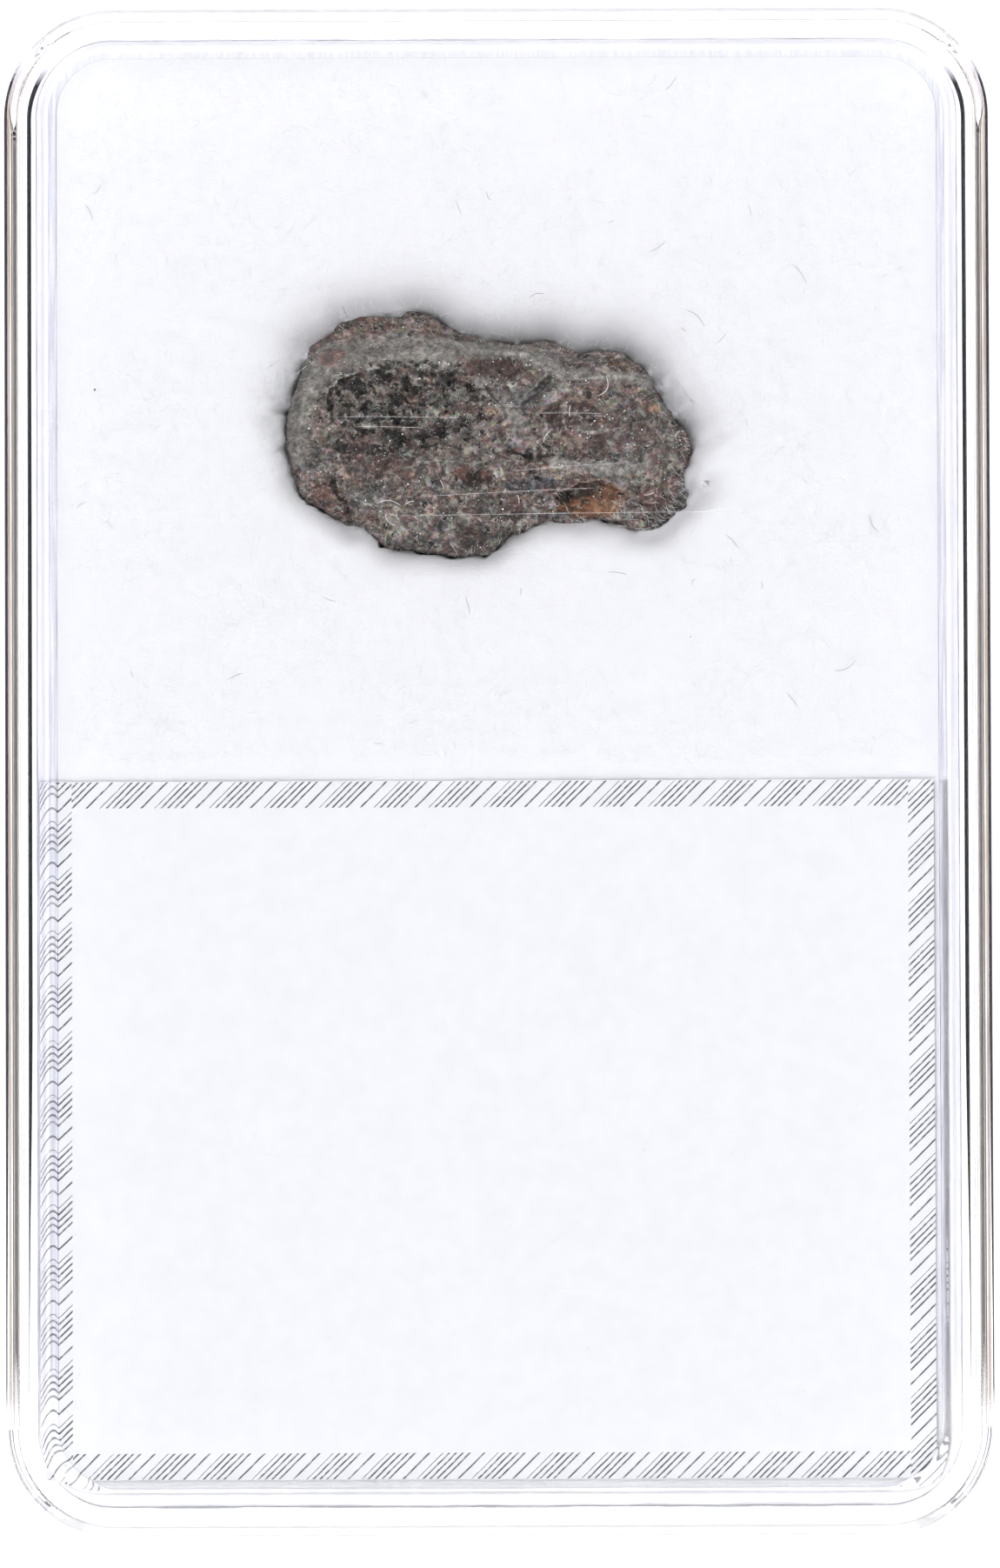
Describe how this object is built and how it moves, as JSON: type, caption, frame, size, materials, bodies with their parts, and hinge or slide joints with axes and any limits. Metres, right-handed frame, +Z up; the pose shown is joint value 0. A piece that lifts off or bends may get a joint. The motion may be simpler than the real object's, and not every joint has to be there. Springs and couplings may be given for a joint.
{
  "type": "boxed lunar meteorite specimen",
  "caption": "Small dark breccia stone bedded in soft white filling under the clear lid of a flat, round-cornered lift-off specimen box, with a bare border-hatched paper label.",
  "frame": {"origin": "middle of the box base's underside, where the box stands", "axes": "+Z up through the lid, +Y along the box's length towards the end that holds the stone, +X to the right seen from above"},
  "size_m": [0.036, 0.056, 0.012],
  "materials": {
    "lunar_breccia": "matte",
    "clear_plastic": "polished",
    "white_bedding": "matte",
    "label_paper": "matte"
  },
  "bodies": {
    "root": {"meteorite": "lunar_breccia", "box_base": "clear_plastic", "box_lid": "clear_plastic", "foam_pad": "white_bedding", "label_card": "label_paper"}
  },
  "joints": []
}
